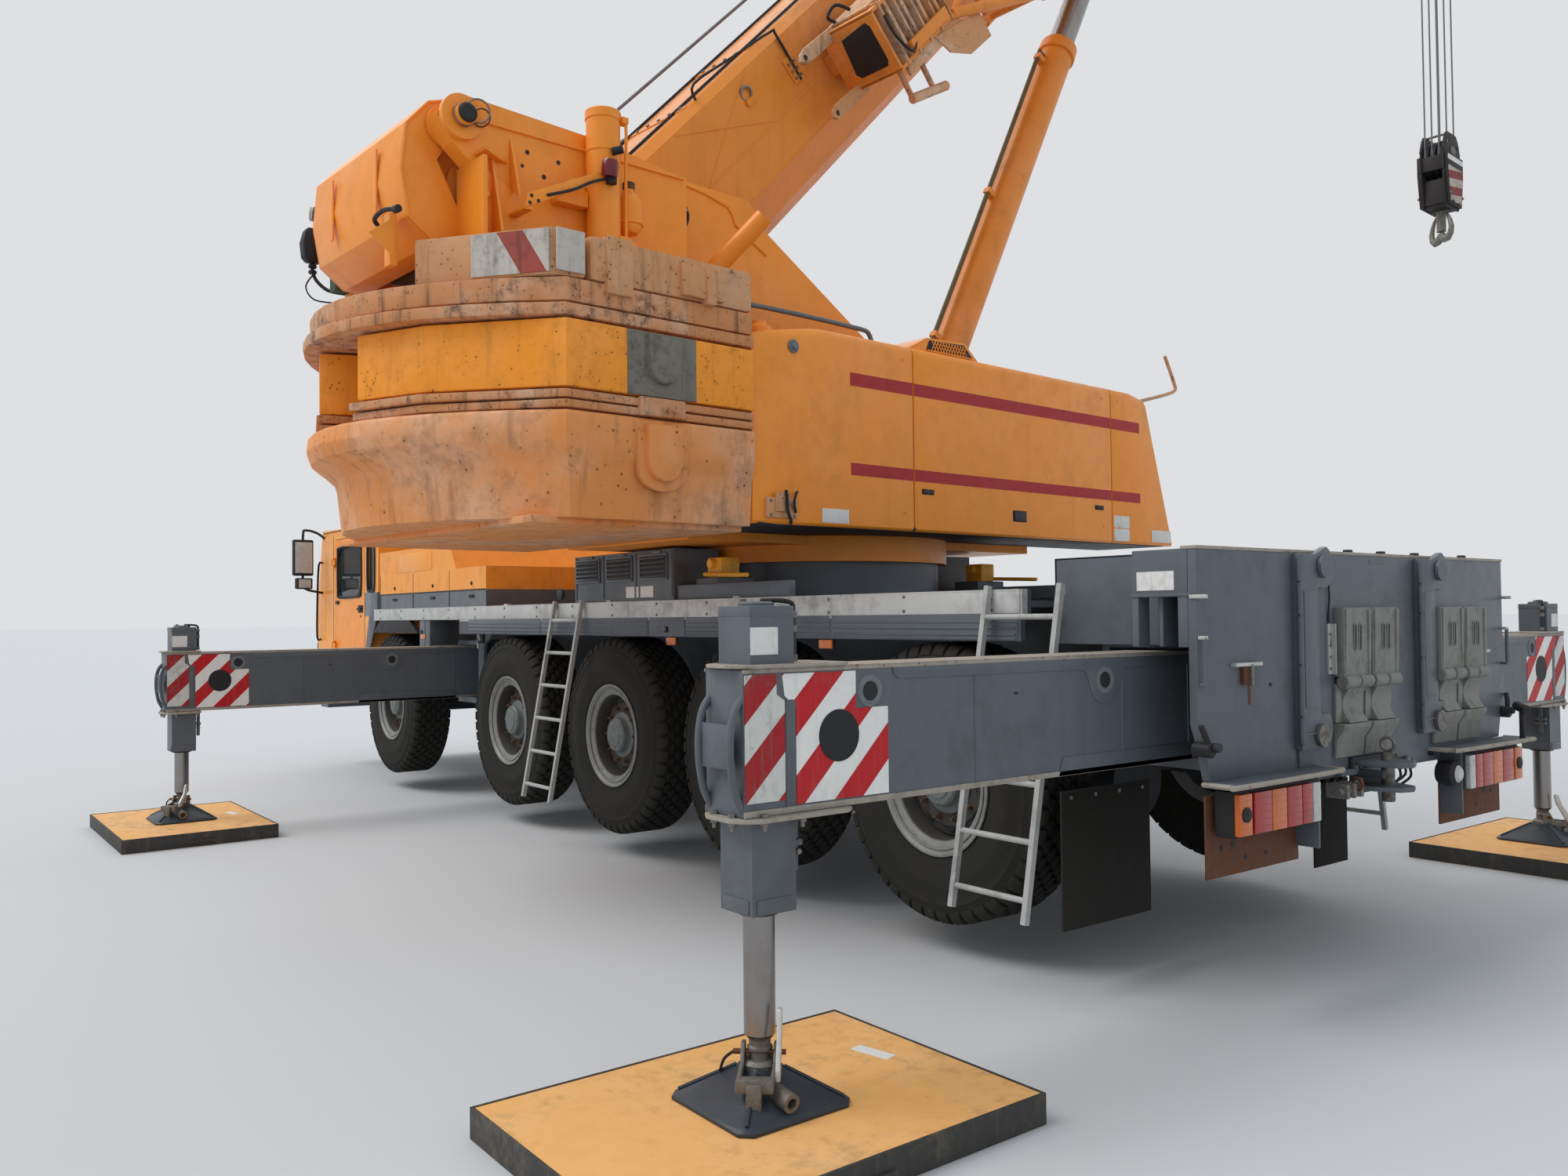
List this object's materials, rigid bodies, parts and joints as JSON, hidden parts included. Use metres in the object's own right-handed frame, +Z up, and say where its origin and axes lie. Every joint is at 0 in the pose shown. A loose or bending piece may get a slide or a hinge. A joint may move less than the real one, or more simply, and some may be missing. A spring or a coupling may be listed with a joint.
{
  "type": "mobile crane",
  "caption": "All-terrain mobile crane on its outriggers, with a raised telescopic boom, luffing cylinder, counterweight stack, operator cab and hook block.",
  "frame": {"origin": "on the ground, at the bottom centre of the bounding box", "axes": "+X towards the carrier cab, +Y to the left of the carrier, +Z up"},
  "size_m": [11.96, 16.3601, 17.8949],
  "materials": {
    "orange_paint": "gloss",
    "faded_orange": "matt",
    "carrier_paint": "satin",
    "deck": "satin",
    "axle": "matt",
    "rim": "satin",
    "tyre": "matt",
    "rod_steel": "polished",
    "mat": "worn",
    "rope": "greased"
  },
  "bodies": {
    "carrier": {"chassis_frame": "carrier_paint", "deck": "deck", "engine_housing": "orange_paint", "tail_frame": "carrier_paint", "mats": "mat", "axles": "axle", "cab": "orange_paint"},
    "wheel_one_left": {"tyre_one_left": "tyre", "rim_one_left": "rim"},
    "steer_one_left": {"knuckle_one_left": "axle"},
    "wheel_one_right": {"tyre_one_right": "tyre", "rim_one_right": "rim"},
    "steer_one_right": {"knuckle_one_right": "axle"},
    "wheel_two_left": {"tyre_two_left": "tyre", "rim_two_left": "rim"},
    "steer_two_left": {"knuckle_two_left": "axle"},
    "wheel_two_right": {"tyre_two_right": "tyre", "rim_two_right": "rim"},
    "steer_two_right": {"knuckle_two_right": "axle"},
    "wheel_three_left": {"tyre_three_left": "tyre", "rim_three_left": "rim"},
    "wheel_three_right": {"tyre_three_right": "tyre", "rim_three_right": "rim"},
    "wheel_four_left": {"tyre_four_left": "tyre", "rim_four_left": "rim"},
    "steer_four_left": {"knuckle_four_left": "axle"},
    "wheel_four_right": {"tyre_four_right": "tyre", "rim_four_right": "rim"},
    "steer_four_right": {"knuckle_four_right": "axle"},
    "wheel_five_left": {"tyre_five_left": "tyre", "rim_five_left": "rim"},
    "steer_five_left": {"knuckle_five_left": "axle"},
    "wheel_five_right": {"tyre_five_right": "tyre", "rim_five_right": "rim"},
    "steer_five_right": {"knuckle_five_right": "axle"},
    "beam_front_left": {"outrigger_beam_front_left": "carrier_paint"},
    "jack_body_front_left": {"jack_front_left": "rod_steel"},
    "beam_front_right": {"outrigger_beam_front_right": "carrier_paint"},
    "jack_body_front_right": {"jack_front_right": "rod_steel"},
    "beam_rear_left": {"outrigger_beam_rear_left": "carrier_paint"},
    "jack_body_rear_left": {"jack_rear_left": "rod_steel"},
    "beam_rear_right": {"outrigger_beam_rear_right": "carrier_paint"},
    "jack_body_rear_right": {"jack_rear_right": "rod_steel"},
    "door_left": {"cab_door_left": "orange_paint"},
    "door_right": {"cab_door_right": "orange_paint"},
    "upper": {"upper_frame": "orange_paint", "side_covers": "orange_paint", "counterweight": "faded_orange", "operator_cab": "orange_paint"},
    "winch": {"winch_drum": "axle"},
    "slide_door": {"operator_door": "orange_paint"},
    "boom": {"boom_base": "orange_paint", "folding_jib": "orange_paint"},
    "section_one": {"boom_section_one": "orange_paint"},
    "section_two": {"boom_section_two": "orange_paint"},
    "section_three": {"boom_section_three": "orange_paint"},
    "rod": {"luff_rod": "rod_steel"},
    "barrel": {"luff_barrel": "orange_paint"},
    "falls": {"hook_falls": "rope"},
    "hook": {"hook_block": "orange_paint"}
  },
  "joints": [
    {"name": "steering_one_left", "type": "hinge", "parent": "carrier", "child": "steer_one_left", "pos_m": [3.31, 5.05, 0.835], "axis": [0, 0, 1], "range_deg": [-35, 35]},
    {"name": "roll_one_left", "type": "hinge", "parent": "steer_one_left", "child": "wheel_one_left", "pos_m": [3.31, 5.33, 0.835], "axis": [0, 1, 0], "continuous": true},
    {"name": "steering_one_right", "type": "hinge", "parent": "carrier", "child": "steer_one_right", "pos_m": [3.31, 3.25, 0.835], "axis": [0, 0, 1], "range_deg": [-35.01, 35.01]},
    {"name": "roll_one_right", "type": "hinge", "parent": "steer_one_right", "child": "wheel_one_right", "pos_m": [3.31, 2.97, 0.835], "axis": [0, 1, 0], "continuous": true},
    {"name": "steering_two_left", "type": "hinge", "parent": "carrier", "child": "steer_two_left", "pos_m": [0.6, 5.05, 0.835], "axis": [0, 0, 1], "range_deg": [-26.26, 26.26]},
    {"name": "roll_two_left", "type": "hinge", "parent": "steer_two_left", "child": "wheel_two_left", "pos_m": [0.6, 5.33, 0.835], "axis": [0, 1, 0], "continuous": true},
    {"name": "steering_two_right", "type": "hinge", "parent": "carrier", "child": "steer_two_right", "pos_m": [0.6, 3.25, 0.835], "axis": [0, 0, 1], "range_deg": [-26.26, 26.26]},
    {"name": "roll_two_right", "type": "hinge", "parent": "steer_two_right", "child": "wheel_two_right", "pos_m": [0.6, 2.97, 0.835], "axis": [0, 1, 0], "continuous": true},
    {"name": "roll_three_left", "type": "hinge", "parent": "carrier", "child": "wheel_three_left", "pos_m": [-1.1, 5.33, 0.835], "axis": [0, 1, 0], "continuous": true},
    {"name": "roll_three_right", "type": "hinge", "parent": "carrier", "child": "wheel_three_right", "pos_m": [-1.1, 2.97, 0.835], "axis": [0, 1, 0], "continuous": true},
    {"name": "steering_four_left", "type": "hinge", "parent": "carrier", "child": "steer_four_left", "pos_m": [-2.69, 5.05, 0.835], "axis": [0, 0, 1], "range_deg": [-12.26, 12.26]},
    {"name": "roll_four_left", "type": "hinge", "parent": "steer_four_left", "child": "wheel_four_left", "pos_m": [-2.69, 5.33, 0.835], "axis": [0, 1, 0], "continuous": true},
    {"name": "steering_four_right", "type": "hinge", "parent": "carrier", "child": "steer_four_right", "pos_m": [-2.69, 3.25, 0.835], "axis": [0, 0, 1], "range_deg": [-12.26, 12.26]},
    {"name": "roll_four_right", "type": "hinge", "parent": "steer_four_right", "child": "wheel_four_right", "pos_m": [-2.69, 2.97, 0.835], "axis": [0, 1, 0], "continuous": true},
    {"name": "steering_five_left", "type": "hinge", "parent": "carrier", "child": "steer_five_left", "pos_m": [-4.29, 5.05, 0.835], "axis": [0, 0, 1], "range_deg": [-12.61, 12.61]},
    {"name": "roll_five_left", "type": "hinge", "parent": "steer_five_left", "child": "wheel_five_left", "pos_m": [-4.29, 5.33, 0.835], "axis": [0, 1, 0], "continuous": true},
    {"name": "steering_five_right", "type": "hinge", "parent": "carrier", "child": "steer_five_right", "pos_m": [-4.29, 3.25, 0.835], "axis": [0, 0, 1], "range_deg": [-12.61, 12.61]},
    {"name": "roll_five_right", "type": "hinge", "parent": "steer_five_right", "child": "wheel_five_right", "pos_m": [-4.29, 2.97, 0.835], "axis": [0, 1, 0], "continuous": true},
    {"name": "outrigger_front_left", "type": "slide", "parent": "carrier", "child": "beam_front_left", "axis": [0, 1, 0], "range_m": [-2.22, 0]},
    {"name": "jacking_front_left", "type": "slide", "parent": "beam_front_left", "child": "jack_body_front_left", "axis": [0, 0, -1], "range_m": [-0.25, 0]},
    {"name": "outrigger_front_right", "type": "slide", "parent": "carrier", "child": "beam_front_right", "axis": [0, -1, 0], "range_m": [-2.22, 0]},
    {"name": "jacking_front_right", "type": "slide", "parent": "beam_front_right", "child": "jack_body_front_right", "axis": [0, 0, -1], "range_m": [-0.25, 0]},
    {"name": "outrigger_rear_left", "type": "slide", "parent": "carrier", "child": "beam_rear_left", "axis": [0, 1, 0], "range_m": [-1.93, 0]},
    {"name": "jacking_rear_left", "type": "slide", "parent": "beam_rear_left", "child": "jack_body_rear_left", "axis": [0, 0, -1], "range_m": [-0.25, 0]},
    {"name": "outrigger_rear_right", "type": "slide", "parent": "carrier", "child": "beam_rear_right", "axis": [0, -1, 0], "range_m": [-2.2, 0]},
    {"name": "jacking_rear_right", "type": "slide", "parent": "beam_rear_right", "child": "jack_body_rear_right", "axis": [0, 0, -1], "range_m": [-0.25, 0]},
    {"name": "door_hinge_left", "type": "hinge", "parent": "carrier", "child": "door_left", "pos_m": [5.295, 5.458, 1.845], "axis": [0, 0, -1], "range_deg": [0, 65]},
    {"name": "door_hinge_right", "type": "hinge", "parent": "carrier", "child": "door_right", "pos_m": [5.295, 2.842, 1.845], "axis": [0, 0, 1], "range_deg": [0, 65]},
    {"name": "slewing", "type": "hinge", "parent": "carrier", "child": "upper", "pos_m": [-1.69, 4.15, 2.01], "axis": [0, 0, 1], "continuous": true},
    {"name": "winch_turn", "type": "hinge", "parent": "upper", "child": "winch", "pos_m": [-1.89787, 7.12274, 3.98], "axis": [0.9976, 0.0698, 0], "continuous": true},
    {"name": "door_slide", "type": "slide", "parent": "upper", "child": "slide_door", "axis": [-0.0698, 0.9976, 0], "range_m": [0, 0.65]},
    {"name": "luffing", "type": "hinge", "parent": "upper", "child": "boom", "pos_m": [-1.81905, 5.99549, 3.55], "axis": [-0.9976, -0.0698, 0], "range_deg": [-45.5, 36.5]},
    {"name": "telescoping_one", "type": "slide", "parent": "boom", "child": "section_one", "axis": [0.0489, -0.6992, 0.7133], "range_m": [-2.153, 7.147]},
    {"name": "telescoping_two", "type": "slide", "parent": "section_one", "child": "section_two", "axis": [0.0489, -0.6992, 0.7133], "range_m": [-2.153, 7.147]},
    {"name": "telescoping_three", "type": "slide", "parent": "section_two", "child": "section_three", "axis": [0.0489, -0.6992, 0.7133], "range_m": [-2.153, 7.147]},
    {"name": "rod_swing", "type": "hinge", "parent": "boom", "child": "rod", "pos_m": [-1.3995, -0.0043, 8.78578], "axis": [-0.9976, -0.0698, 0], "range_deg": [-11.84, 9.5]},
    {"name": "barrel_slide", "type": "slide", "parent": "rod", "child": "barrel", "axis": [-0.0328, 0.4686, -0.8828], "range_m": [-1.8237, 1.4631]},
    {"name": "falls_swing", "type": "hinge", "parent": "section_three", "child": "falls", "pos_m": [-0.85023, -7.85931, 17.18382], "axis": [-0.9976, -0.0698, 0], "range_deg": [-36.51, 45.51]},
    {"name": "hoisting", "type": "slide", "parent": "falls", "child": "hook", "axis": [0, 0, -1], "range_m": [-8.45, 6.2], "deforming": ["hook_falls"]}
  ],
  "couplings": [
    {"joint": "steering_one_right", "follows": "steering_one_left", "ratio": 1},
    {"joint": "steering_two_left", "follows": "steering_one_left", "ratio": 0.75},
    {"joint": "steering_two_right", "follows": "steering_one_left", "ratio": 0.75},
    {"joint": "steering_four_left", "follows": "steering_one_left", "ratio": -0.35},
    {"joint": "steering_four_right", "follows": "steering_one_left", "ratio": -0.35},
    {"joint": "steering_five_left", "follows": "steering_one_left", "ratio": -0.36},
    {"joint": "steering_five_right", "follows": "steering_one_left", "ratio": -0.36},
    {"joint": "rod_swing", "follows": "luffing", "ratio": 0.25996},
    {"joint": "barrel_slide", "follows": "luffing", "m_per_rad": 2.2952},
    {"joint": "falls_swing", "follows": "luffing", "ratio": -1}
  ]
}
